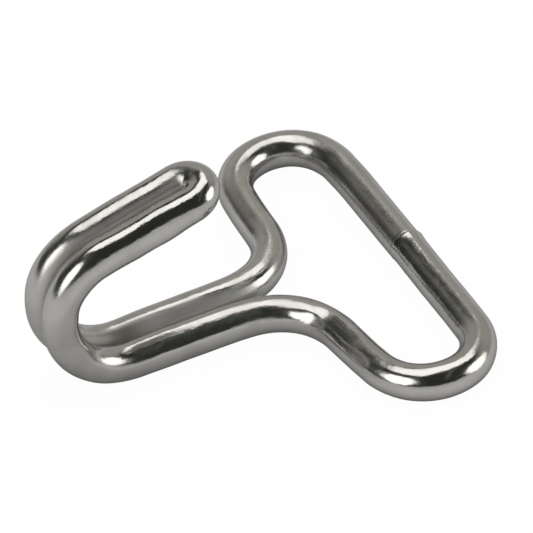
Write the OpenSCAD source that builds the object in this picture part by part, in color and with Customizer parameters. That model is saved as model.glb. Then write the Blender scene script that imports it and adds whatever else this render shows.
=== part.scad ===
// Webbing hook: one length of round wire bent into a slot frame, a twin shank and a closed hook.
// Units are millimetres. The origin is the middle of the webbing bar's axis.
// +X points from the bar to the hook, +Y runs along the bar, and +Z is the side that the hook curls up on.

/* [Wire] */
// Diameter of the round wire
wire_d = 5.5; // [5:0.1:6]
// Gap between the wire's two ends, which meet in the middle of the bar
seam_gap = 0.12; // [0.06:0.02:0.4]
// Bevel on the rim of each wire end
end_bevel = 0.3; // [0.1:0.05:0.6]

/* [Webbing slot] */
// Clear length of the slot, along the bar
slot_length = 53.5; // [51:0.5:58]
// Centreline radius of the two wide corners
corner_r = 8.4; // [7:0.1:9]
// Angle that each wide corner turns the wire through
corner_turn = 174.3; // [172:0.1:177]
// Centreline radius of the two bends that lead into the shank
neck_r = 11.2; // [10:0.1:12]

/* [Shank and hook] */
// Straight length of the twin shank
shank_length = 17.8; // [14:0.2:24]
// Gap between the two wires of the shank
shank_gap = 0.1; // [0.06:0.02:0.6]
// Centreline radius of the hook's lower bend
heel_r = 12.2; // [10:0.1:15]
// Angle of the hook's lower bend
heel_turn = 95.6; // [85:0.2:100]
// Centreline radius of the hook's upper bend
crown_r = 9.3; // [8:0.1:12]
// Angle of the hook's upper bend
crown_turn = 70.4; // [60:0.2:76]
// Straight length of the wire that returns over the shank
return_length = 15.8; // [12:0.2:18]

/* [Hidden] */
$fn = 48;

// Drawing the wire round a bend thins it by this much on the radius, so a bend's ends sit inside the straights.
BEND_THINNING = 0.015;
// Straight left between the hook's two bends.
BEND_PITCH = 0.6;

wire_r = wire_d / 2;
shank_y = wire_r + shank_gap / 2;
bar_half = slot_length / 2 + wire_r - corner_r;
// The side of the frame is as long as brings the neck's end level with the shank.
side_length = (bar_half + corner_r * sin(corner_turn) - neck_r * (1 - sin(corner_turn)) - shank_y)
    / -cos(corner_turn);

// Bend schedule from the end of the bar to the hook's tip: [roll, centreline radius, turn, straight after it].
SCHEDULE = [
    [0, corner_r, corner_turn, side_length],
    [180, neck_r, corner_turn - 90, shank_length],
    [90, heel_r, heel_turn, BEND_PITCH],
    [0, crown_r, crown_turn, return_length],
    [90, shank_y, 90, 0]
];

// Extra angle at each end of a bend, small enough that its end stays inside the straight's surface.
function buried(bend_r) = acos(1 - BEND_THINNING / 4 / bend_r);

module bend(bend_r, turn) {
    translate([bend_r, 0, 0]) rotate([0, -buried(bend_r), 0]) rotate([90, 0, 180])
        rotate_extrude(angle = turn + 2 * buried(bend_r))
            translate([bend_r, 0]) circle(r = wire_r - BEND_THINNING);
}

// Carries what follows to the end of a bend that starts here along +Z and turns towards +X.
module after_bend(bend_r, turn) {
    translate([bend_r, 0, 0]) rotate([0, turn, 0]) translate([-bend_r, 0, 0]) children();
}

// Runs the wire along +Z through the schedule, from step i on.
module wire_run(steps, i = 0) {
    if (i < len(steps)) {
        bend_r = steps[i][1];
        turn = steps[i][2];
        feed = steps[i][3];
        rotate([0, 0, steps[i][0]]) {
            bend(bend_r, turn);
            after_bend(bend_r, turn) {
                if (feed > 0) cylinder(r = wire_r, h = feed);
                translate([0, 0, feed]) wire_run(steps, i + 1);
            }
        }
    }
}

// Half of the bar along +Z, from its bevelled end at the seam.
module half_bar() {
    seam_face = seam_gap / 2;
    rotate_extrude() polygon([
        [0, seam_face], [wire_r - end_bevel, seam_face], [wire_r, seam_face + end_bevel], [wire_r, bar_half], [0, bar_half]
    ]);
}

// The wire from its end at the seam to the middle of the hook's tip, cut flush at the part's middle plane.
module half_wire() {
    difference() {
        rotate([-90, 0, 0]) {
            half_bar();
            translate([0, 0, bar_half]) wire_run(SCHEDULE);
        }
        translate([0, -wire_d, 0]) cube([2 * slot_length, wire_d, slot_length]);
    }
}

module wire_hook() {
    color("silver") {
        half_wire();
        mirror([0, 1, 0]) half_wire();
    }
}

wire_hook();
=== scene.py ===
"""Webbing hook: one length of polished wire bent into a slot frame, a twin shank and a closed hook.

The wire is one surface, swept along the same bend schedule as the CAD solid, which it replaces.
Lengths are in metres and angles in degrees unless a name says otherwise.
The origin is the middle of the webbing bar, +X points to the hook, +Y runs along the bar and +Z is up.
"""

from __future__ import annotations

import logging
import math
from dataclasses import dataclass, field
from enum import Enum

import bpy
import numpy as np
from mathutils import Matrix, Vector

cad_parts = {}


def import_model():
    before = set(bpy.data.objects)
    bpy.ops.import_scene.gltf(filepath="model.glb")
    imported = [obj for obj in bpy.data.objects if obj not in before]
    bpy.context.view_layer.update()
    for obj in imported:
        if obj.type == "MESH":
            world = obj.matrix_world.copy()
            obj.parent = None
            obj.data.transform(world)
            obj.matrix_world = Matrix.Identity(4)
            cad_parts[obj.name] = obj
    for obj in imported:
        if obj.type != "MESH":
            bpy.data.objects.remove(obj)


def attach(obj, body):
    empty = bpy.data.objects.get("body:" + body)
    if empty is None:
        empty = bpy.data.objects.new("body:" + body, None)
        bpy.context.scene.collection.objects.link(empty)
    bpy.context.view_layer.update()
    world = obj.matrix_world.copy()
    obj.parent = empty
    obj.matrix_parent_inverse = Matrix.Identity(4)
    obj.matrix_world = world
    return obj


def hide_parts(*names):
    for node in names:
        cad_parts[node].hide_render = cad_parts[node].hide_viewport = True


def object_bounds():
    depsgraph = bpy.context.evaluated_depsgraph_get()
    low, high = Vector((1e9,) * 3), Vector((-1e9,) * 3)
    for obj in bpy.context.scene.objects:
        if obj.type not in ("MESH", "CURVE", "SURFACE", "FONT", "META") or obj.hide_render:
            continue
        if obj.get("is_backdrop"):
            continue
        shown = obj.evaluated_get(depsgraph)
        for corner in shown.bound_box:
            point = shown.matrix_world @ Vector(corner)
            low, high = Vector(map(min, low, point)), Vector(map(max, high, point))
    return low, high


MM = 0.001
X_AXIS, Y_AXIS, Z_AXIS = np.eye(3)
# How many places the ease of a size is averaged over.
EASE_SAMPLES = 41
# How much longer the orange peel's grain is along the wire than across it.
PEEL_STRETCH = 1.6
# The smallest pit, as a share of the largest.
SMALLEST_PIT = 0.45

log = logging.getLogger("webbing_hook")

Array = np.ndarray
Axis = Array | Vector
Box = list[list[float]]
Colour = tuple[float, float, float]
Pair = tuple[float, float]


# ------------------------ shapes as arrays


def smoothstep(low: float, high: float, x: Array) -> Array:
    """Eases from 0 at low to 1 at high as 3t^2 - 2t^3, where t is x's share of the way.

    Args:
        low: Where the value is still 0.
        high: Where the value has become 1.
        x: Places to work it out at.

    Returns:
        The eased values, in x's shape.
    """
    t = np.clip((x - low) / (high - low), 0.0, 1.0)
    return t * t * (3.0 - 2.0 * t)


def fading(size: float, run: float, place: Array) -> Array:
    """A size at the wire's end that fades out over a run, as the square of the share still to go."""
    return size * np.clip(1.0 - place / run, 0.0, 1.0) ** 2


def with_poles(grid: Array) -> Array:
    """Lists what a grid holds at its points, then the mean of its first ring and of its last."""
    return np.concatenate([grid.reshape(-1, *grid.shape[2:]), grid[[0, -1]].mean(1)])


def sine(angle: float) -> float:
    """The sine of an angle in degrees."""
    return math.sin(math.radians(angle))


def cosine(angle: float) -> float:
    """The cosine of an angle in degrees."""
    return math.cos(math.radians(angle))


def direction(azimuth: float, elevation: float) -> Vector:
    """The unit vector at an azimuth from +X towards +Y and an elevation above the floor."""
    level = cosine(elevation)
    return Vector((level * cosine(azimuth), level * sine(azimuth), sine(elevation)))


def turned(x: Axis, y: Axis, angle: float) -> tuple[Axis, Axis]:
    """Turns two axes in their own plane: x cos a + y sin a, and y cos a - x sin a.

    Args:
        x: The first axis, or a row of axes for each ring.
        y: The second axis, at right angles to it.
        angle: How far they turn.

    Returns:
        Both axes, turned.
    """
    return x * cosine(angle) + y * sine(angle), y * cosine(angle) - x * sine(angle)


def placed(name: str, data: bpy.types.ID) -> bpy.types.Object:
    """Makes an object of a mesh, a lamp or a camera and puts it in the scene."""
    made = bpy.data.objects.new(name, data)
    bpy.context.scene.collection.objects.link(made)
    return made


def stand_off(made: bpy.types.Object, aim: Vector, distance: float, azimuth: float, elevation: float,
              roll: float) -> None:
    """Stands a lamp or a camera off the point that it faces.

    Before the roll its x is level and its y points up.

    Args:
        made: The lamp or the camera.
        aim: The point that it faces.
        distance: How far off it stands.
        azimuth: The way to it from the point, from +X towards +Y.
        elevation: How high above the floor that way points.
        roll: How far its x turns towards its y.
    """
    away = direction(azimuth, elevation)
    level = Vector((-sine(azimuth), cosine(azimuth), 0.0))
    axes = Matrix((*turned(level, away.cross(level), roll), away)).transposed()
    made.matrix_world = Matrix.Translation(aim + away * distance) @ axes.to_4x4()


@dataclass(frozen=True)
class Bend:
    """One step of the bend schedule: roll the wire, bend it towards its own x, feed it straight."""

    roll: float
    radius: float
    turn: float
    feed: float


@dataclass
class WireLine:
    """The wire's centreline as rings of one row each, with the two axes of every ring."""

    centre: Array
    across: Array
    beside: Array
    length: Array
    bent: Array

    def joined(self, other: WireLine) -> WireLine:
        """Carries the line on past its last ring with another half, mirrored in the plane y = 0.

        Both halves end in that plane in the same ring, whose points are their own mirror images, and
        the rings after it are those of the other half, mirrored and taken backwards.

        Args:
            other: The other half, run on the same side of the plane as this one.

        Returns:
            The whole line, from one end of the wire to the other.
        """
        flip = np.array([1.0, -1.0, 1.0])
        total = self.length[-1]
        return WireLine(
            np.vstack([self.centre, other.centre[-2::-1] * flip]),
            np.vstack([self.across, other.across[-2::-1] * flip]),
            np.vstack([self.beside, other.beside[-2::-1] * flip]),
            np.concatenate([self.length, 2.0 * total - other.length[-2::-1]]),
            np.concatenate([self.bent, other.bent[-2::-1]]),
        )

    def moved(self, shift: Array) -> WireLine:
        """Moves every ring and squares it again to the line that the moved centres make.

        A ring's across axis loses its part along the new line, and its beside axis is at right
        angles to both. The last ring keeps its axes.

        Args:
            shift: How far each ring moves, a row each.

        Returns:
            The moved line.
        """
        centre = self.centre + shift
        along = np.gradient(centre, axis=0)
        along[-1] = np.cross(self.across[-1], self.beside[-1])
        along /= np.linalg.norm(along, axis=1)[:, None]
        across = self.across - (self.across * along).sum(1)[:, None] * along
        across /= np.linalg.norm(across, axis=1)[:, None]
        hand = np.sign((np.cross(along, across) * self.beside).sum(1))[:, None]
        return WireLine(centre, across, np.cross(along, across) * hand, self.length, self.bent)


@dataclass
class BendRun:
    """Runs a wire through a bend schedule, ring by ring.

    A straight moves the ring along the wire. In a bend of radius R the ring at angle t lies at
    R sin t along the old direction and R (1 - cos t) towards the inside of the bend. The ring's
    marks are turned back by every roll so far, so that a mark runs along the wire unbroken.
    """

    start: Array
    along: Array
    across: Array
    beside: Array
    ring_step: float = 0.42 * MM
    bend_step: float = 2.4
    ease: float = 1.6 * MM
    rolled: float = 0.0
    run: float = 0.0
    rows: list[tuple[Array, Array, Array, Array, Array]] = field(default_factory=list)

    def _keep(self, centre: Array, across: Array, beside: Array, length: Array, bent: Array) -> None:
        """Stores rings with their axes turned back by the roll so far."""
        self.rows.append((centre, *turned(across, beside, -self.rolled), length, bent))

    def straight(self, feed: float) -> None:
        """Feeds the wire straight on, in rings no further apart than ring_step.

        Args:
            feed: Length of the straight.
        """
        t = np.linspace(0.0, feed, max(2, math.ceil(feed / self.ring_step) + 1))[:-1, None]
        ones = np.ones_like(t)
        self._keep(self.start + t * self.along, ones * self.across, ones * self.beside,
                   self.run + t[:, 0], np.zeros(len(t)))
        self.start = self.start + feed * self.along
        self.run += feed

    def bend(self, step: Bend) -> None:
        """Rolls and bends the wire, then feeds it straight on.

        Args:
            step: The bend and the straight after it.
        """
        self.across, self.beside = turned(self.across, self.beside, step.roll)
        self.rolled += step.roll
        turn = math.radians(step.turn)
        t = np.linspace(0.0, turn, max(2, math.ceil(step.turn / self.bend_step) + 1))[:, None]
        arc = step.radius * t[:, 0]
        centre = self.start + step.radius * (np.sin(t) * self.along + (1.0 - np.cos(t)) * self.across)
        across = np.cos(t) * self.across - np.sin(t) * self.along
        beside = np.ones_like(t) * self.beside
        drawn = smoothstep(0.0, self.ease, arc) * smoothstep(0.0, self.ease, arc[-1] - arc)
        self._keep(centre[:-1], across[:-1], beside[:-1], self.run + arc[:-1], drawn[:-1])
        self.start, self.run = centre[-1], self.run + arc[-1]
        self.along, self.across = math.cos(turn) * self.along + math.sin(turn) * self.across, across[-1]
        if step.feed > 0.0:
            self.straight(step.feed)

    def finished(self) -> WireLine:
        """Closes the run with its last ring and returns the line."""
        self._keep(self.start[None], self.across[None], self.beside[None],
                   np.array([self.run]), np.zeros(1))
        return WireLine(*(np.concatenate(part) for part in zip(*self.rows)))


# ------------------------ shader node groups


class Graph:
    """Adds and joins nodes in one node tree."""

    def __init__(self, tree: bpy.types.NodeTree) -> None:
        """Starts on an empty tree."""
        self.tree = tree
        tree.nodes.clear()

    def node(self, kind: str, settings: dict[str, object] | None = None,
             **inputs: object) -> bpy.types.Node:
        """Adds a node.

        Args:
            kind: The node's type, such as ShaderNodeMath.
            settings: Properties of the node itself.
            **inputs: A value or a socket for each input, by name with spaces as underscores, or
                in_0, in_1 for an input by its number. A colour's value is its three parts.

        Returns:
            The new node.
        """
        made = self.tree.nodes.new(kind)
        for name, value in (settings or {}).items():
            setattr(made, name, value)
        for name, value in inputs.items():
            numbered = name.startswith("in_")
            socket = made.inputs[int(name[3:]) if numbered else name.replace("_", " ")]
            if isinstance(value, bpy.types.NodeSocket):
                self.tree.links.new(value, socket)
            else:
                socket.default_value = (*value, 1.0) if socket.type == "RGBA" else value
        return made

    def maths(self, operation: str, a: object, b: object = 0.0) -> bpy.types.NodeSocket:
        """Works out an operation on one or two values and returns the result."""
        return self.node("ShaderNodeMath", {"operation": operation}, in_0=a, in_1=b).outputs[0]

    def vector(self, operation: str, a: object, b: object = (0.0, 0.0, 0.0)) -> bpy.types.Node:
        """Adds a Vector Math node on one or two vectors."""
        return self.node("ShaderNodeVectorMath", {"operation": operation}, in_0=a, in_1=b)

    def dot(self, a: object, b: object) -> bpy.types.NodeSocket:
        """Works out the dot product of two vectors and returns the result."""
        return self.vector("DOT_PRODUCT", a, b).outputs["Value"]

    def shrunk(self, place: object, x: object, y: object, z: object) -> bpy.types.NodeSocket:
        """Divides a place by a size along each axis and returns the result."""
        size = self.node("ShaderNodeCombineXYZ", X=x, Y=y, Z=z).outputs[0]
        return self.vector("DIVIDE", place, size).outputs[0]

    def eased(self, value: object, low: object, high: object,
              to_low: object = 0.0, to_high: object = 1.0) -> bpy.types.NodeSocket:
        """Eases a value from one range into another and returns the result."""
        return self.node("ShaderNodeMapRange", {"interpolation_type": "SMOOTHSTEP"}, Value=value,
                         From_Min=low, From_Max=high, To_Min=to_low, To_Max=to_high).outputs["Result"]

    def mix(self, share: object, a: object, b: object) -> bpy.types.NodeSocket:
        """Mixes two colours by share and returns the result."""
        return self.node("ShaderNodeMix", {"data_type": "RGBA"}, in_0=share, in_6=a, in_7=b).outputs[2]

    def effect(self, tree: bpy.types.ShaderNodeTree, **inputs: object) -> bpy.types.NodeSocket:
        """Adds a shader node group and returns its one result."""
        return self.node("ShaderNodeGroup", {"node_tree": tree}, **inputs).outputs[0]

    def mirrored(self, path: bpy.types.Node) -> bpy.types.NodeSocket:
        """Says whether a ray has come by way of metal or glass."""
        added = self.maths("ADD", path.outputs["Is Glossy Ray"], path.outputs["Is Transmission Ray"])
        return self.maths("MINIMUM", added, 1.0)

    def carried(self, name: str, kind: str) -> bpy.types.NodeSocket:
        """Reads a value, or a vector, that the mesh carries at each point."""
        return self.node("ShaderNodeAttribute", {"attribute_name": name}).outputs[kind]


class Kind(Enum):
    """Kinds of socket on a node group's face."""

    VALUE = "NodeSocketFloat"
    VECTOR = "NodeSocketVector"


def effect_group(name: str, takes: tuple[str, ...],
                 gives: str) -> tuple[Graph, list[bpy.types.NodeSocket]]:
    """Begins a shader node group that takes a place on the wire and some values, and gives one value.

    Args:
        name: The group's name.
        takes: Name of each value that it takes.
        gives: Name of the value that it gives.

    Returns:
        The group's graph, and the sockets of the place and of each value that it takes.
    """
    tree = bpy.data.node_groups.new(name, "ShaderNodeTree")
    tree.interface.new_socket(name="Wire", in_out="INPUT", socket_type=Kind.VECTOR.value)
    for label in takes:
        tree.interface.new_socket(name=label, in_out="INPUT", socket_type=Kind.VALUE.value)
    tree.interface.new_socket(name=gives, in_out="OUTPUT", socket_type=Kind.VALUE.value)
    g = Graph(tree)
    face = g.node("NodeGroupInput")
    return g, [face.outputs[label] for label in ("Wire", *takes)]


class MetalGroups:
    """The surface effects that every finish of the wire shares, each a node group."""

    def __init__(self) -> None:
        """Builds each group once."""
        self.lines = self._drawn_lines()
        self.pits = self._pits()
        self.cloud = self._cloud()
        self.peel = self._peel()

    @staticmethod
    def _drawn_lines() -> bpy.types.ShaderNodeTree:
        """Fine lines that run along the wire: noise stretched along its length."""
        g, (wire, spacing, run) = effect_group("drawn_lines", ("Spacing", "Run"), "Height")
        place = g.shrunk(wire, run, spacing, spacing)
        noise = g.node("ShaderNodeTexNoise", Vector=place, Scale=1.0, Detail=1.5, Roughness=0.5)
        g.node("NodeGroupOutput", Height=noise.outputs[0])
        return g.tree

    @staticmethod
    def _pits() -> bpy.types.ShaderNodeTree:
        """Scattered small pits: a share of a Voronoi pattern's cells each have one, round its point."""
        g, (wire, cell, share, most) = effect_group("pits", ("Cell", "Share", "Reach"), "Mask")
        cells = g.node("ShaderNodeTexVoronoi", Vector=g.shrunk(wire, cell, cell, cell), Scale=1.0)
        chance = g.node("ShaderNodeSeparateColor", in_0=cells.outputs["Color"])
        kept = g.maths("LESS_THAN", chance.outputs[0], share)
        reach = g.maths("MULTIPLY", most, g.eased(chance.outputs[1], 0.0, 1.0, SMALLEST_PIT, 1.0))
        near = g.eased(cells.outputs["Distance"], 0.0, reach, 1.0, 0.0)
        g.node("NodeGroupOutput", Mask=g.maths("MULTIPLY", near, kept))
        return g.tree

    @staticmethod
    def _cloud() -> bpy.types.ShaderNodeTree:
        """Soft patches left by the polishing wheel: low noise, eased to a mask between two levels."""
        g, (wire, size, low, high) = effect_group("cloud", ("Size", "From", "To"), "Mask")
        place = g.shrunk(wire, size, size, size)
        noise = g.node("ShaderNodeTexNoise", Vector=place, Scale=1.0, Detail=2.0, Roughness=0.5)
        g.node("NodeGroupOutput", Mask=g.eased(noise.outputs[0], low, high))
        return g.tree

    @staticmethod
    def _peel() -> bpy.types.ShaderNodeTree:
        """The slight orange peel of a tumbled surface: fine noise, a little longer along the wire."""
        g, (wire, size) = effect_group("peel", ("Size",), "Height")
        place = g.shrunk(wire, g.maths("MULTIPLY", size, PEEL_STRETCH), size, size)
        noise = g.node("ShaderNodeTexNoise", Vector=place, Scale=1.0, Detail=2.5, Roughness=0.55)
        g.node("NodeGroupOutput", Height=noise.outputs[0])
        return g.tree


@dataclass(frozen=True)
class MetalFinish:
    """A finish of the wire: bare steel with drawing lines, pits and patches left by polishing, with
    painted shade where its dullness passes 1.
    """

    name: str
    colour: Colour
    patch_colour: Colour
    pit_colour: Colour
    roughness: float
    dull_roughness: float
    patch_roughness: float
    line_roughness: float
    line_spacing: float
    line_run: float
    line_depth: float
    pit_cell: float
    pit_share: float
    pit_reach: float
    pit_depth: float
    patch_size: float
    peel_size: float
    peel_depth: float
    edge_tint: Colour = (0.70, 0.70, 0.70)
    patch_span: Pair = (0.42, 0.68)
    line_span: Pair = (0.35, 0.75)
    # Past a dullness of 1 the colour darkens towards the pit colour as painted shade: over this span,
    # by at most this share.
    groove_shade_span: Pair = (1.0, 1.8)
    groove_shade_share: float = 0.7

    def material(self, groups: MetalGroups) -> bpy.types.Material:
        """Builds the finish's material.

        Args:
            groups: The shared surface effects.

        Returns:
            A node material for the wire.
        """
        made = bpy.data.materials.new(self.name)
        made.use_nodes = True
        g = Graph(made.node_tree)
        wire = g.carried(WireHook.COORDINATE, "Vector")
        lines = g.effect(groups.lines, Wire=wire, Spacing=self.line_spacing, Run=self.line_run)
        pits = g.effect(groups.pits, Wire=wire, Cell=self.pit_cell, Share=self.pit_share,
                        Reach=self.pit_reach)
        patch = g.effect(groups.cloud, Wire=wire, Size=self.patch_size, From=self.patch_span[0],
                         To=self.patch_span[1])
        tone = g.mix(patch, self.colour, self.patch_colour)
        tone = g.mix(pits, tone, self.pit_colour)
        dull = g.carried(WireHook.DULLNESS_AND_SHADE, "Fac")
        # Past a dullness of 1 the colour darkens towards the pit colour: painted shade in the groove
        # between the twin wires.
        tone = g.mix(g.eased(dull, *self.groove_shade_span, 0.0, self.groove_shade_share), tone, self.pit_colour)
        rough = g.node("ShaderNodeMapRange", Value=dull, To_Min=self.roughness,
                       To_Max=self.dull_roughness).outputs["Result"]
        rough = g.maths("ADD", rough, g.maths("MULTIPLY", patch, self.patch_roughness))
        rough = g.maths("ADD", rough, g.eased(lines, *self.line_span, 0.0, self.line_roughness))
        peel = g.effect(groups.peel, Wire=wire, Size=self.peel_size)
        depth = g.maths("MULTIPLY", g.carried(WireHook.MARKS, "Fac"), self.line_depth)
        height = g.maths("SUBTRACT", g.maths("MULTIPLY", lines, depth),
                         g.maths("MULTIPLY", pits, self.pit_depth))
        height = g.maths("ADD", height, g.maths("MULTIPLY", peel, self.peel_depth))
        bump = g.node("ShaderNodeBump", Strength=1.0, Distance=1.0, Height=height)
        steel = g.node("ShaderNodeBsdfPrincipled", Base_Color=tone, Metallic=1.0, Roughness=rough,
                       Specular_Tint=self.edge_tint, Normal=bump.outputs[0])
        g.node("ShaderNodeOutputMaterial", Surface=steel.outputs[0])
        return made


POLISHED_STEEL = MetalFinish(
    name="polished_steel",
    colour=(0.62, 0.61, 0.59),
    patch_colour=(0.57, 0.56, 0.535),
    pit_colour=(0.20, 0.19, 0.165),
    roughness=0.10,
    dull_roughness=0.50,
    patch_roughness=0.04,
    line_roughness=0.04,
    line_spacing=0.34 * MM,
    line_run=1.7 * MM,
    line_depth=0.040 * MM,
    pit_cell=1.5 * MM,
    pit_share=0.22,
    pit_reach=0.13,
    pit_depth=0.02 * MM,
    patch_size=4.5 * MM,
    peel_size=0.45 * MM,
    peel_depth=0.018 * MM,
)

CROPPED_END = MetalFinish(
    name="cropped_end",
    colour=(0.30, 0.29, 0.27),
    patch_colour=(0.20, 0.19, 0.17),
    pit_colour=(0.10, 0.09, 0.08),
    roughness=0.38,
    dull_roughness=0.55,
    patch_roughness=0.12,
    line_roughness=0.12,
    line_spacing=0.22 * MM,
    line_run=0.5 * MM,
    line_depth=0.006 * MM,
    pit_cell=0.7 * MM,
    pit_share=0.3,
    pit_reach=0.25,
    pit_depth=0.03 * MM,
    patch_size=1.5 * MM,
    peel_size=0.3 * MM,
    peel_depth=0.01 * MM,
)


# ------------------------ the wire


@dataclass(frozen=True)
class Spot:
    """A size that the near and the far half of the wire have at a place along it."""

    place: float
    near: float
    far: float


def spot_list(unit: float, *rows: tuple[float, float, float]) -> tuple[Spot, ...]:
    """Makes spots of rows of a place in millimetres and the near and the far size in the unit."""
    return tuple(Spot(place * MM, near * unit, far * unit) for place, near, far in rows)


def eased_sizes(spots: tuple[Spot, ...], near: bool, length: Array, ease: float) -> Array:
    """Eases a size along half of the wire.

    It is the mean of the straight runs between the named spots, weighted by a raised cosine over
    the ease each way.

    Args:
        spots: The named spots, in order along the wire.
        near: Whether it is the near half.
        length: Place along the wire of each ring.
        ease: How far each way the size is eased.

    Returns:
        The size at each ring.
    """
    reach = np.linspace(-1.0, 1.0, EASE_SAMPLES)
    weight = 0.5 + 0.5 * np.cos(np.pi * reach)
    sizes = np.interp(length[:, None] + ease * reach, [spot.place for spot in spots],
                      [spot.near if near else spot.far for spot in spots])
    return (sizes * weight).sum(1) / weight.sum()


@dataclass(frozen=True)
class Flat:
    """A soft flat that a bending die pressed into the wire.

    It faces a direction (azimuth and elevation), spans half_width degrees each way round the wire
    and runs along one half of it from start to end, eased over the ease.
    """

    near: bool
    start: float
    end: float
    azimuth: float
    elevation: float
    half_width: float
    depth: float
    ease: float = 2.0 * MM


@dataclass
class WireHook:
    """The whole hook: one wire, from its end at the seam round to the other end."""

    COORDINATE = "wire_coord"
    DULLNESS_AND_SHADE = "dullness_and_shade"
    MARKS = "marks"

    wire_r: float = 2.75 * MM
    bend_thinning: float = 0.015 * MM
    seam_gap: float = 0.12 * MM
    end_bevel: float = 0.12 * MM
    slot_length: float = 53.5 * MM
    corner_r: float = 8.4 * MM
    corner_turn: float = 174.3
    neck_r: float = 11.2 * MM
    shank_length: float = 17.8 * MM
    shank_gap: float = 0.1 * MM
    heel_r: float = 12.2 * MM
    heel_turn: float = 95.6
    bend_pitch: float = 0.6 * MM
    crown_r: float = 9.3 * MM
    crown_turn: float = 70.4
    return_length: float = 15.8 * MM
    columns: int = 88
    # Where along each half the wire turns up into the hook, and where the hook comes back down.
    hook_span: Pair = (86.0 * MM, 92.0 * MM)
    back_span: Pair = (112.0 * MM, 124.0 * MM)
    stray_ease: float = 2.6 * MM
    # The ripple's depth, the lengths, turns and sizes of its waves, and the peak that it is cut off at.
    ripple_depth: float = 0.045 * MM
    ripple_seed: int = 7
    ripple_waves: int = 26
    ripple_lengths: Pair = (2.5 * MM, 14.0 * MM)
    ripple_turns: int = 3
    ripple_sizes: Pair = (0.4, 1.0)
    ripple_peak: float = 1.8
    # How far the wire's two ends are lifted and the near one is flared, and over what run.
    end_lift: float = 0.28 * MM
    end_lift_run: float = 13.0 * MM
    end_flare: float = 0.13 * MM
    end_flare_run: float = 1.7 * MM
    far_lift: float = 0.08 * MM
    far_lift_run: float = 5.0 * MM
    # The twin wires: how far the heel pinches each, how many times its extra radius the return moves
    # each in, how far from the middle plane the groove between them ends, in shares of shank_y, and
    # over what sine its dullness and painted shade fade out.
    pinch: float = 0.05 * MM
    twin_share: float = 1.5
    twin_span: Pair = (1.02, 1.5)
    groove_ease: float = 0.40
    # Where the wire lies out of its true path: eased corners, a bowed side and a pinched neck.
    strays: tuple[Spot, ...] = spot_list(
        MM,
        (17.0, 0.0, 0.0), (21.0, -0.08, -0.25), (24.0, -0.22, -0.36), (27.0, -0.18, -0.15),
        (30.0, -0.08, -0.06), (36.0, -0.14, -0.08), (38.0, -0.12, -0.04), (41.0, -0.24, 0.05),
        (44.0, -0.30, 0.05), (47.0, -0.12, 0.08), (50.0, 0.06, 0.06), (54.0, 0.12, -0.13),
        (58.0, 0.20, -0.27), (62.0, 0.12, -0.28), (65.0, 0.08, -0.10), (68.0, 0.14, 0.20),
        (71.0, 0.20, 0.38), (75.0, 0.02, 0.16), (84.0, 0.02, 0.12), (89.0, 0.0, 0.0),
        (96.0, 0.10, 0.0), (106.0, 0.0, 0.0), (112.0, 0.0, 0.0), (119.0, 0.0, -0.28),
        (126.0, 0.0, -0.10), (131.0, 0.0, 0.0),
    )
    # How much the bending has upset the wire: its extra radius, most in the corners and the twin runs.
    gauge: tuple[Spot, ...] = spot_list(
        MM,
        (0.0, 0.02, 0.0), (18.0, 0.03, 0.0), (24.0, 0.08, 0.08), (36.0, 0.14, 0.07),
        (43.0, 0.03, 0.02), (50.0, 0.0, 0.04), (58.0, 0.02, 0.04), (66.0, 0.09, 0.05),
        (75.0, 0.14, 0.05), (86.0, 0.14, 0.05), (94.0, 0.03, 0.0), (112.0, 0.03, 0.0),
        (122.0, 0.14, 0.0), (134.0, 0.15, 0.0), (138.5, 0.0, 0.0),
    )
    # How far the die that closed the pair has squeezed each wire of the twin runs out of round.
    squeeze: tuple[Spot, ...] = spot_list(
        MM,
        (66.0, 0.0, 0.0), (74.0, 0.13, 0.10), (88.0, 0.13, 0.10), (96.0, 0.0, 0.0),
        (112.0, 0.0, 0.0), (122.0, 0.20, 0.08), (134.0, 0.22, 0.08), (139.0, 0.0, 0.0),
    )
    # How dull the wire is along each half, from 0 for a mirror to 1.
    polish: tuple[Spot, ...] = spot_list(
        1.0,
        (0.0, 0.08, 0.25), (21.0, 0.10, 0.25), (34.0, 0.05, 0.10), (52.0, 0.12, 0.30),
        (60.0, 0.15, 0.22), (63.5, 0.15, 0.40), (65.5, 0.15, 0.08), (80.0, 0.10, 0.15),
        (90.0, 0.10, 0.15), (104.0, 0.10, 0.20), (117.0, 0.20, 0.24), (122.0, 0.08, 0.12),
        (136.5, 0.04, 0.06), (139.8, 0.05, 0.45), (142.0, 0.05, 0.05),
    )
    # How dull the inside of the twin wires is, where no wheel reaches. Past 1 it also darkens the
    # colour: painted shade in the groove between the twin wires.
    groove_dullness_and_shade: tuple[Spot, ...] = spot_list(
        1.0,
        (84.0, 0.85, 0.85), (90.0, 1.10, 1.70), (99.0, 1.70, 1.70), (106.0, 1.50, 0.85),
        (114.0, 0.85, 0.85),
    )
    # How far a surface faces the twin wire, as a sine, where the dullness and painted shade on its
    # inside begin.
    groove_edge: tuple[Spot, ...] = spot_list(
        1.0,
        (74.0, 0.35, 0.25), (80.0, 0.35, 0.05), (92.0, 0.35, 0.05), (97.0, 0.16, 0.20),
        (104.0, 0.16, 0.35), (109.0, 0.35, 0.35),
    )
    # How deep the drawing marks are: worn away on the hook, left on the bar, the side and the shank.
    marks: tuple[Spot, ...] = spot_list(
        1.0,
        (18.0, 0.5, 0.15), (26.0, 0.15, 0.25), (44.0, 0.15, 0.25),
        (50.0, 0.6, 0.20), (58.0, 0.6, 0.20), (64.0, 0.4, 0.6), (74.0, 0.7, 0.7), (88.0, 0.6, 0.3),
        (96.0, 0.15, 0.10), (118.0, 0.12, 0.10), (124.0, 0.25, 0.25), (136.0, 0.25, 0.35),
        (142.0, 0.10, 0.10),
    )
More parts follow.
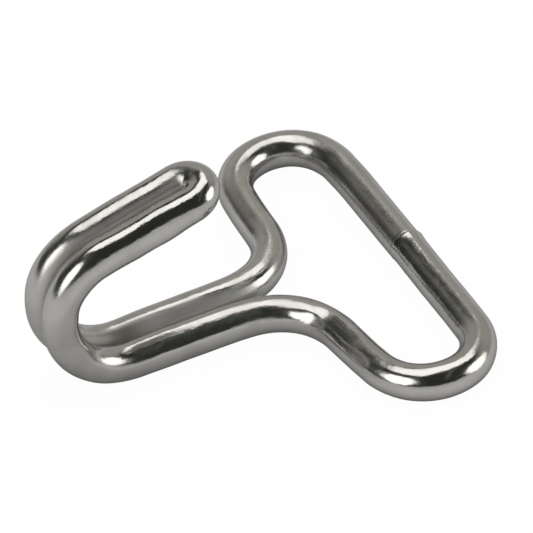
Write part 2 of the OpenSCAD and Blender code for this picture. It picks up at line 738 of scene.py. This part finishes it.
    # How much of the ripple each place has: most on the return, least on the bar.
    waviness: tuple[Spot, ...] = spot_list(
        1.0,
        (0.0, 0.7, 0.4), (20.0, 0.8, 0.6), (30.0, 1.0, 1.0), (60.0, 1.0, 1.0), (88.0, 1.0, 1.0),
        (100.0, 0.6, 0.6), (112.0, 0.8, 0.8), (122.0, 2.8, 1.5), (136.0, 2.8, 1.5),
        (142.0, 1.0, 1.0),
    )
    # The flats left by the bending dies on both sides, the shank and the return.
    flats: tuple[Flat, ...] = (
        Flat(True, 50.0 * MM, 59.6 * MM, 60.0, 68.0, 34.0, 0.19 * MM, 1.8 * MM),
        Flat(True, 48.5 * MM, 61.8 * MM, 52.0, 38.0, 30.0, 0.13 * MM, 1.6 * MM),
        Flat(True, 74.0 * MM, 91.0 * MM, 90.0, 62.0, 34.0, 0.13 * MM, 4.0 * MM),
        Flat(False, 72.0 * MM, 92.0 * MM, 90.0, 52.0, 30.0, 0.07 * MM, 4.0 * MM),
        Flat(False, 42.0 * MM, 56.0 * MM, 60.0, 70.0, 40.0, 0.10 * MM, 2.0 * MM),
        Flat(False, 60.0 * MM, 74.0 * MM, 75.0, 76.0, 34.0, 0.10 * MM, 3.0 * MM),
        Flat(False, 120.0 * MM, 139.0 * MM, 70.0, 66.0, 34.0, 0.12 * MM, 2.0 * MM),
    )

    @property
    def shank_y(self) -> float:
        """Distance of each shank wire's axis from the middle plane."""
        return self.wire_r + self.shank_gap / 2.0

    @property
    def bar_half(self) -> float:
        """Straight length of half the bar, from the seam's middle."""
        return self.slot_length / 2.0 + self.wire_r - self.corner_r

    @property
    def side_length(self) -> float:
        """Straight length of the frame's side, which brings the neck's end level with the shank."""
        turn = math.radians(self.corner_turn)
        rise = self.bar_half + self.corner_r * math.sin(turn)
        fall = self.neck_r * (1.0 - math.sin(turn)) + self.shank_y
        return (rise - fall) / -math.cos(turn)

    @property
    def schedule(self) -> tuple[Bend, ...]:
        """The bends from the end of the bar to the middle of the hook's tip."""
        return (
            Bend(0.0, self.corner_r, self.corner_turn, self.side_length),
            Bend(180.0, self.neck_r, self.corner_turn - 90.0, self.shank_length),
            Bend(90.0, self.heel_r, self.heel_turn, self.bend_pitch),
            Bend(0.0, self.crown_r, self.crown_turn, self.return_length),
            Bend(90.0, self.shank_y, 90.0, 0.0),
        )

    def bent_by_hand(self, half: WireLine, near: bool) -> WireLine:
        """Moves half of the wire off its true path.

        The stray moves a ring outwards in the plane of the frame up to the shank, and outwards in
        the plane of the hook after it. A thicker or taller ring moves by what it gained up from the
        floor or in from the hook's outside, so that the thicker wire keeps to the part's own box.
        On the return it also moves towards its twin by a multiple of its extra radius, and the heel
        is pinched, each wire towards its twin.

        Args:
            half: Half of the wire on its true path.
            near: Whether it is the near half.

        Returns:
            The half as it is bent by hand.
        """
        stray, extra, squeeze = (eased_sizes(spots, near, half.length, self.stray_ease)[:, None]
                                 for spots in (self.strays, self.gauge, self.squeeze))
        along = np.cross(half.across, half.beside)
        hook = smoothstep(*self.hook_span, half.length)[:, None]
        back = smoothstep(*self.back_span, half.length)[:, None]
        level, upright = np.cross(Z_AXIS, along), np.cross(Y_AXIS, along)
        out = stray * (level * (1.0 - hook) + upright * hook)
        rise = (extra + squeeze) * (Z_AXIS * (1.0 - hook) - upright * hook)
        inwards = self.twin_share * extra * back + self.pinch * hook * (1.0 - back)
        return half.moved(out + rise - inwards * Y_AXIS)

    def line(self) -> WireLine:
        """Runs half of the wire through its schedule and joins the other half on to it."""
        seam = self.seam_gap / 2.0 + self.end_bevel
        run = BendRun(start=seam * Y_AXIS, along=Y_AXIS, across=X_AXIS, beside=-Z_AXIS, run=seam)
        run.straight(self.bar_half - seam)
        for step in self.schedule:
            run.bend(step)
        half = run.finished()
        return self.bent_by_hand(half, True).joined(self.bent_by_hand(half, False))

    def along_both(self, spots: tuple[Spot, ...], line: WireLine) -> Array:
        """Eases a size along the whole wire, each half by its own column of the spots."""
        near, place = self.halves(line)
        return np.where(near, eased_sizes(spots, True, place, self.stray_ease),
                        eased_sizes(spots, False, place, self.stray_ease))

    def halves(self, line: WireLine) -> tuple[Array, Array]:
        """Says of each ring whether it is on the near half, and its place along its own half."""
        half = line.length[-1] / 2.0 + line.length[0] / 2.0
        near = line.length <= half
        return near, np.where(near, line.length, 2.0 * half - line.length)

    def radius(self, line: WireLine, angle: Array) -> Array:
        """The wire's radius round each ring.

        It is the true radius, less the thinning where the wire is bent, plus the extra that bending
        has upset and the flare that cropping left on the near end, which grows with the square of
        the share of its run, less the flats and the ripple. The squeeze q makes it an oval: it adds
        q (1 - 2 y^2) where y is the outward direction's part across the middle plane. A flat is
        deepest where the surface faces its direction, and fades out at its half width.

        Args:
            line: The wire's centreline.
            angle: Angle of each point round the ring, as a row.

        Returns:
            The radius on the grid of rings and points.
        """
        near, place = self.halves(line)
        oval = self.along_both(self.squeeze, line)
        size = self.wire_r - self.bend_thinning * line.bent + self.along_both(self.gauge, line)
        size = size + near * fading(self.end_flare, self.end_flare_run, place)
        outward = (np.cos(angle)[..., None] * line.across[:, None]
                   + np.sin(angle)[..., None] * line.beside[:, None])
        pressed = np.zeros(outward.shape[:2])
        for flat in self.flats:
            begun = smoothstep(flat.start - flat.ease, flat.start + flat.ease, place)
            ended = smoothstep(flat.end - flat.ease, flat.end + flat.ease, place)
            run = begun * (1.0 - ended) * (near == flat.near)
            facing = outward @ np.array(direction(flat.azimuth, flat.elevation))
            pressed += flat.depth * run[:, None] * smoothstep(cosine(flat.half_width), 1.0, facing)
        ripple = self.ripple_depth * (0.5 + 0.5 * self.ripple(line.length[:, None], angle))
        ripple = ripple * self.along_both(self.waviness, line)[:, None]
        return size[:, None] + oval[:, None] * (1.0 - 2.0 * outward[..., 1] ** 2) - pressed - ripple

    def dullness_and_shade(self, line: WireLine, angle: Array) -> Array:
        """How dull each point is: the polish along its half, and the dullness and painted shade inside
        the twin wires.

        A point counts as inside by the share of its outward direction that points at the middle
        plane, as far as its ring lies within reach of the other wire.

        Args:
            line: The wire's centreline.
            angle: Angle of each point round the ring, as a row.

        Returns:
            Dullness on the grid of rings and points, from 0 for a mirror to 1.
        """
        near, _ = self.halves(line)
        level = self.along_both(self.polish, line)[:, None]
        outward = np.cos(angle) * line.across[:, 1:2] + np.sin(angle) * line.beside[:, 1:2]
        side = np.where(near, 1.0, -1.0)[:, None]
        twin = 1.0 - smoothstep(*self.twin_span, np.abs(line.centre[:, 1:2]) / self.shank_y)
        edge = self.along_both(self.groove_edge, line)[:, None]
        inside = smoothstep(0.0, self.groove_ease, -side * outward - edge) * twin
        # Inside the twin wires the groove's dullness and painted shade take over from the polish.
        return level + (self.along_both(self.groove_dullness_and_shade, line)[:, None] - level) * np.clip(inside, 0.0, 1.0)

    def end_profile(self) -> tuple[Array, Array]:
        """The cropped end's profile, from beside its pole out over the face and down its worn bevel.

        Returns:
            How far each ring lies ahead of the first full ring, and its share of the wire's radius.
        """
        bevel = self.end_bevel / self.wire_r
        ahead = np.array([1.0, 1.0, 1.0, 1.0, 0.97, 0.72, 0.40, 0.15, 0.03]) * self.end_bevel
        share = np.array([0.25, 0.5, 0.75, 0.96 - bevel, 1.0 - bevel, 1.0 - 0.72 * bevel,
                          1.0 - 0.38 * bevel, 1.0 - 0.12 * bevel, 1.0 - 0.01 * bevel])
        return ahead, share

    def ripple(self, length: Array, angle: Array) -> Array:
        """The shallow unevenness of a hand-polished wire, from -1 to 1.

        It is a sum of waves cos(k s + m a + phase) over the length s and the angle a round the
        wire, with whole numbers m so that it closes. A longer wave is a larger one.

        Args:
            length: Place along the wire of each ring, as a column.
            angle: Angle of each point round the ring, as a row.

        Returns:
            The unevenness on the grid of rings and points.
        """
        draw, waves = np.random.default_rng(self.ripple_seed), self.ripple_waves
        k = 2.0 * np.pi / draw.uniform(*self.ripple_lengths, waves)
        m = draw.integers(-self.ripple_turns, self.ripple_turns + 1, waves)
        phase = draw.uniform(0.0, 2.0 * np.pi, waves)
        size = draw.uniform(*self.ripple_sizes, waves) / np.sqrt(k * MM)
        waved = (np.cos(length[..., None] * k + angle[..., None] * m + phase) * size).sum(-1)
        return np.clip(waved / (self.ripple_peak * np.sqrt((size**2).sum())), -1.0, 1.0)

    def surface(self, box: Box) -> tuple[Array, Array, Array, Array]:
        """Sweeps the round section along the line.

        A point at angle a on a ring lies at centre + r (cos a across + sin a beside), held inside
        the solid's own box. Each end of the wire is lifted by the square of the share of its run.

        Args:
            box: The lowest and the highest corner of the CAD part.

        Returns:
            The grid of points, the grid of (length along the wire, section x, section y), the grid
            of dullness and the grid of marks.
        """
        line = self.line()
        angle = np.linspace(0.0, 2.0 * np.pi, self.columns, endpoint=False)[None]
        radius = self.radius(line, angle)
        ahead, share = self.end_profile()
        caps = []
        for ring, way in ((0, -1), (-1, 1)):
            step, part = way * ahead[::-way], share[::-way]
            caps.append((line.centre[ring] + step[:, None] * Y_AXIS,
                         np.repeat(line.across[ring][None], len(step), 0),
                         np.repeat(line.beside[ring][None], len(step), 0),
                         line.length[ring] + step, part[:, None] * radius[ring]))
        head, tail = caps
        rings = (line.centre, line.across, line.beside, line.length, radius)
        centre, across, beside, length, radius = map(np.concatenate, zip(head, rings, tail))
        from_far = line.length[0] + line.length[-1] - length
        centre[:, 2] += fading(self.end_lift, self.end_lift_run, length)
        centre[:, 2] += fading(self.far_lift, self.far_lift_run, from_far)
        x, y = radius * np.cos(angle), radius * np.sin(angle)
        points = centre[:, None] + x[..., None] * across[:, None] + y[..., None] * beside[:, None]
        points = np.clip(points, np.array(box[0]), np.array(box[1]))
        marks = np.stack([np.broadcast_to(length[:, None], x.shape), x, y], -1)
        dull = self.dullness_and_shade(line, angle)
        marked = np.broadcast_to(self.along_both(self.marks, line)[:, None], dull.shape)
        ends = ((len(share), len(share)), (0, 0))
        return points, marks, np.pad(dull, ends, "edge"), np.pad(marked, ends, "edge")

    def build(self, box: Box) -> bpy.types.Object:
        """Builds the wire as one closed mesh.

        The grid's quads join each ring to the next, and a fan of triangles closes each end.

        Args:
            box: The lowest and the highest corner of the CAD part.

        Returns:
            The piece, with its place in its mesh.
        """
        points, marks, dull, marked = self.surface(box)
        rings, columns = points.shape[:2]
        index = np.arange(rings * columns).reshape(rings, columns)
        after = np.roll(index, -1, axis=1)
        quads = np.stack([index[:-1], after[:-1], after[1:], index[1:]], -1).reshape(-1, 4)
        first = np.stack([np.full(columns, rings * columns), after[0], index[0]], -1)
        last = np.stack([np.full(columns, rings * columns + 1), index[-1], after[-1]], -1)
        mesh = bpy.data.meshes.new("polished_wire")
        mesh.from_pydata(with_poles(points).tolist(), [],
                         quads.tolist() + first.tolist() + last.tolist())
        for name, kind, part, grid in ((self.COORDINATE, "FLOAT_VECTOR", "vector", marks),
                                       (self.DULLNESS_AND_SHADE, "FLOAT", "value", dull),
                                       (self.MARKS, "FLOAT", "value", marked)):
            mesh.attributes.new(name, kind, "POINT").data.foreach_set(
                part, with_poles(grid).astype(np.float32).ravel())
        mesh.polygons.foreach_set("use_smooth", np.ones(len(mesh.polygons), bool))
        end_rings = len(self.end_profile()[0])
        slot = np.zeros((rings - 1, columns), int)
        slot[:end_rings] = 1
        slot[-end_rings:] = 1
        mesh.polygons.foreach_set(
            "material_index", np.concatenate([slot.ravel(), np.ones(2 * columns, int)]))
        mesh.update()
        return placed("polished_wire", mesh)

    def dress(self, piece: bpy.types.Object, groups: MetalGroups) -> None:
        """Gives the wire its finishes and its place in the part.

        Args:
            piece: The wire.
            groups: The shared surface effects.
        """
        for finish in (POLISHED_STEEL, CROPPED_END):
            piece.data.materials.append(finish.material(groups))
        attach(piece, "root")
        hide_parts("wire_hook")


# ------------------------ studio


class Outline(Enum):
    """Outlines of a studio light."""

    SQUARE = "RECTANGLE"
    ROUND = "ELLIPSE"


@dataclass(frozen=True)
class Softbox:
    """A flat studio light that faces the hook. Its half sizes are tangents of the angles they span."""

    name: str
    outline: Outline
    azimuth: float
    elevation: float
    turn: float
    half_width: float
    half_height: float
    radiance: Colour
    distance: float = 1.1

    def build(self, aim: Vector) -> bpy.types.Object:
        """Builds the lamp.

        Args:
            aim: The point that it faces.

        Returns:
            The lamp's object.
        """
        lamp = bpy.data.lights.new(self.name, "AREA")
        lamp.shape = self.outline.value
        lamp.size = 2.0 * self.half_width * self.distance
        lamp.size_y = 2.0 * self.half_height * self.distance
        # A square lamp of one watt per square metre has a radiance of a quarter, and a round one more.
        lamp.energy = 4.0 * max(self.radiance) * lamp.size * lamp.size_y
        if self.outline is Outline.ROUND:
            lamp.energy *= math.pi / 4.0
        lamp.color = tuple(part / max(self.radiance) for part in self.radiance)
        made = placed(self.name, lamp)
        stand_off(made, aim, self.distance, self.azimuth, self.elevation, self.turn)
        made.visible_camera = False
        return made


@dataclass(frozen=True)
class Studio:
    """The room: a pale floor, a dark ceiling, a grey wall behind, a faint strip light and softboxes.

    The contact shade lies where the wire closes off the floor's light, and a soft shade lies round
    shade_place, under the hook. The sweep is the floor's far end, which curves up to the wall.
    The strip's fades are along Y from each of its ends, and its core is a share of its half width.
    """

    floor_colour: Colour = (0.61, 0.61, 0.61)
    contact_colour: Colour = (0.12, 0.12, 0.12)
    contact_reach: float = 9.0 * MM
    contact_samples: int = 4
    shade_place: Pair = (56.0 * MM, 12.0 * MM)
    shade_core: float = 10.0 * MM
    shade_reach: float = 46.0 * MM
    shade_level: float = 0.62
    floor_half: float = 3.0
    white: float = 1.0
    white_share: float = 0.97
    gloss_share: float = 0.2
    white_colour: Colour = (0.95, 0.95, 0.95)
    plain_level: float = 0.55
    ceiling: Colour = (0.024, 0.025, 0.021)
    wall: Colour = (0.40, 0.39, 0.36)
    wall_azimuth: float = 235.0
    wall_core: float = 30.0
    wall_reach: float = 85.0
    wall_top: float = 43.5
    wall_soft: float = 5.0
    sweep_level: Colour = (0.53, 0.53, 0.525)
    sweep_top: float = 5.0
    sweep_soft: float = 4.0
    front_azimuth: float = 85.0
    front_rise: float = 9.0
    strip: Colour = (0.13, 0.16, 0.135)
    strip_ends: tuple[Pair, Pair] = ((101.0, 40.0), (170.0, 70.0))
    strip_half: float = 2.4
    strip_core: float = 0.3
    strip_begins: Pair = (0.12, -0.12)
    strip_fades: Pair = (-0.20, 0.05)
    strip_above: float = 0.3
    softboxes: tuple[Softbox, ...] = (
        Softbox("softbox_rear", Outline.SQUARE, 241.0, 72.0, 52.0, 0.50, 0.30, (1.16, 1.14, 1.12)),
        Softbox("softbox_front", Outline.ROUND, 18.0, 35.0, 0.0, 0.37, 0.44, (1.55, 1.54, 1.51)),
        Softbox("softbox_side", Outline.ROUND, 151.0, 22.5, 0.0, 0.38, 0.34, (1.42, 1.40, 1.37)),
    )

    def floor(self, height: float) -> bpy.types.Object:
        """Builds the floor, white to the camera and plainly lit to everything else.

        It is darker where the wire closes off the light over it, and round the foot of the hook.

        Args:
            height: The floor's height.

        Returns:
            The floor, marked as stage.
        """
        half = self.floor_half
        corners = [(x * half, y * half, height) for x, y in ((-1, -1), (1, -1), (1, 1), (-1, 1))]
        mesh = bpy.data.meshes.new("floor")
        mesh.from_pydata(corners, [], [(0, 1, 2, 3)])
        made = placed("floor", mesh)
        paint = bpy.data.materials.new("studio_floor")
        paint.use_nodes = True
        g = Graph(paint.node_tree)
        path = g.node("ShaderNodeLightPath")
        camera = path.outputs["Is Camera Ray"]
        from_foot = g.vector("DISTANCE", g.node("ShaderNodeNewGeometry").outputs["Position"],
                             (*self.shade_place, height)).outputs["Value"]
        open_sky = g.node("ShaderNodeAmbientOcclusion", {"samples": self.contact_samples},
                          Distance=self.contact_reach).outputs["AO"]
        shade = g.eased(from_foot, self.shade_core, self.shade_reach, self.shade_level, 1.0)
        tone = g.mix(g.maths("MULTIPLY", open_sky, shade), self.contact_colour, self.floor_colour)
        lit = g.node("ShaderNodeBsdfDiffuse", Color=g.mix(camera, tone, self.white_colour))
        glow = g.node("ShaderNodeEmission", Color=g.mix(camera, self.sweep_level, (self.white,) * 3))
        share = g.maths("ADD", g.maths("MULTIPLY", camera, self.white_share),
                        g.maths("MULTIPLY", g.mirrored(path), self.gloss_share))
        seen = g.node("ShaderNodeMixShader", in_0=share, in_1=lit.outputs[0], in_2=glow.outputs[0])
        g.node("ShaderNodeOutputMaterial", Surface=seen.outputs[0])
        mesh.materials.append(paint)
        made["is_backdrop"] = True
        return made

    def strip_mask(self, g: Graph, way: bpy.types.NodeSocket,
                   part: bpy.types.Node) -> bpy.types.NodeSocket:
        """Builds the faint strip light under the ceiling, as a mask over the directions.

        It follows the great circle through its two ends: the mask fades with the sine of the angle
        off that circle, and with the direction's own y past each end.

        Args:
            g: The world's graph.
            way: The direction.
            part: The direction's separate parts.

        Returns:
            The mask.
        """
        first, last = (direction(*end) for end in self.strip_ends)
        off = g.maths("ABSOLUTE", g.dot(way, first.cross(last).normalized()))
        half = sine(self.strip_half)
        near = g.eased(off, self.strip_core * half, half, 1.0, 0.0)
        begun = g.eased(part.outputs["Y"], *(first.y + by for by in self.strip_begins))
        ended = g.eased(part.outputs["Y"], *(last.y + by for by in self.strip_fades))
        above = g.maths("GREATER_THAN", part.outputs["Z"], self.strip_above)
        return g.maths("MULTIPLY", g.maths("MULTIPLY", near, above), g.maths("MULTIPLY", begun, ended))

    def world(self) -> None:
        """Builds the world: white to the camera, the room to the metal, a plain level to the rest."""
        world = bpy.data.worlds.new("studio")
        bpy.context.scene.world = world
        world.use_nodes = True
        g = Graph(world.node_tree)
        way = g.node("ShaderNodeTexCoord").outputs["Generated"]
        part = g.node("ShaderNodeSeparateXYZ", in_0=way)
        flat = g.node("ShaderNodeCombineXYZ", X=part.outputs["X"], Y=part.outputs["Y"]).outputs[0]
        level = g.vector("NORMALIZE", flat).outputs[0]
        behind = g.eased(g.dot(level, direction(self.wall_azimuth, 0.0)),
                         cosine(self.wall_reach), cosine(self.wall_core))
        under = g.eased(part.outputs["Z"], sine(self.wall_top + self.wall_soft),
                        sine(self.wall_top - self.wall_soft))
        room = g.mix(g.maths("MULTIPLY", behind, under), self.ceiling, self.wall)
        front = g.maths("MAXIMUM", g.dot(level, direction(self.front_azimuth, 0.0)), 0.0)
        rise = g.maths("MULTIPLY", front, sine(self.front_rise))
        low = g.eased(g.maths("SUBTRACT", part.outputs["Z"], rise),
                      sine(self.sweep_top + self.sweep_soft), sine(self.sweep_top - self.sweep_soft))
        room = g.mix(self.strip_mask(g, way, part), room, self.strip)
        room = g.mix(low, room, self.sweep_level)
        path = g.node("ShaderNodeLightPath")
        tone = g.mix(g.mirrored(path), (self.plain_level,) * 3, room)
        tone = g.mix(path.outputs["Is Camera Ray"], tone, (self.white,) * 3)
        back = g.node("ShaderNodeBackground", Color=tone, Strength=1.0)
        g.node("ShaderNodeOutputWorld", Surface=back.outputs[0])

    def build(self, aim: Vector, floor_height: float) -> None:
        """Builds the floor, the world and the lamps.

        Args:
            aim: The point that the lamps face.
            floor_height: The floor's height.
        """
        self.floor(floor_height)
        self.world()
        for box in self.softboxes:
            box.build(aim)
            log.info("lamp %s: azimuth %.0f, elevation %.0f", box.name, box.azimuth, box.elevation)


@dataclass(frozen=True)
class HookCamera:
    """The camera: a long lens that looks down on the near side of the bar."""

    aim: tuple[float, float, float] = (20.30 * MM, -6.30 * MM, 0.0)
    azimuth: float = 64.256
    elevation: float = 41.010
    roll: float = -2.548
    distance: float = 1.8151
    sensor: float = 36.0
    lens: float = 821.26

    def build(self) -> bpy.types.Object:
        """Builds the camera and makes it the scene's own.

        Returns:
            The camera's object.
        """
        lens = bpy.data.cameras.new("camera")
        lens.sensor_fit = "HORIZONTAL"
        lens.sensor_width = self.sensor
        lens.lens = self.lens
        made = placed("camera", lens)
        stand_off(made, Vector(self.aim), self.distance, self.azimuth, self.elevation, self.roll)
        bpy.context.scene.camera = made
        return made


def main() -> None:
    """Loads the frame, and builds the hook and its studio."""
    logging.basicConfig(level=logging.INFO, format="%(name)s: %(message)s")
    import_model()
    cad_box = [[float(c) for c in corner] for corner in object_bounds()]
    bpy.context.scene.view_settings.view_transform = "Standard"

    hook = WireHook()
    wire = hook.build(cad_box)
    hook.dress(wire, MetalGroups())
    log.info("%s: %d faces, on body root, in place of wire_hook", wire.name, len(wire.data.polygons))

    camera = HookCamera()
    camera.build()
    Studio().build(Vector(camera.aim), cad_box[0][2])


if __name__ == "__main__":
    main()
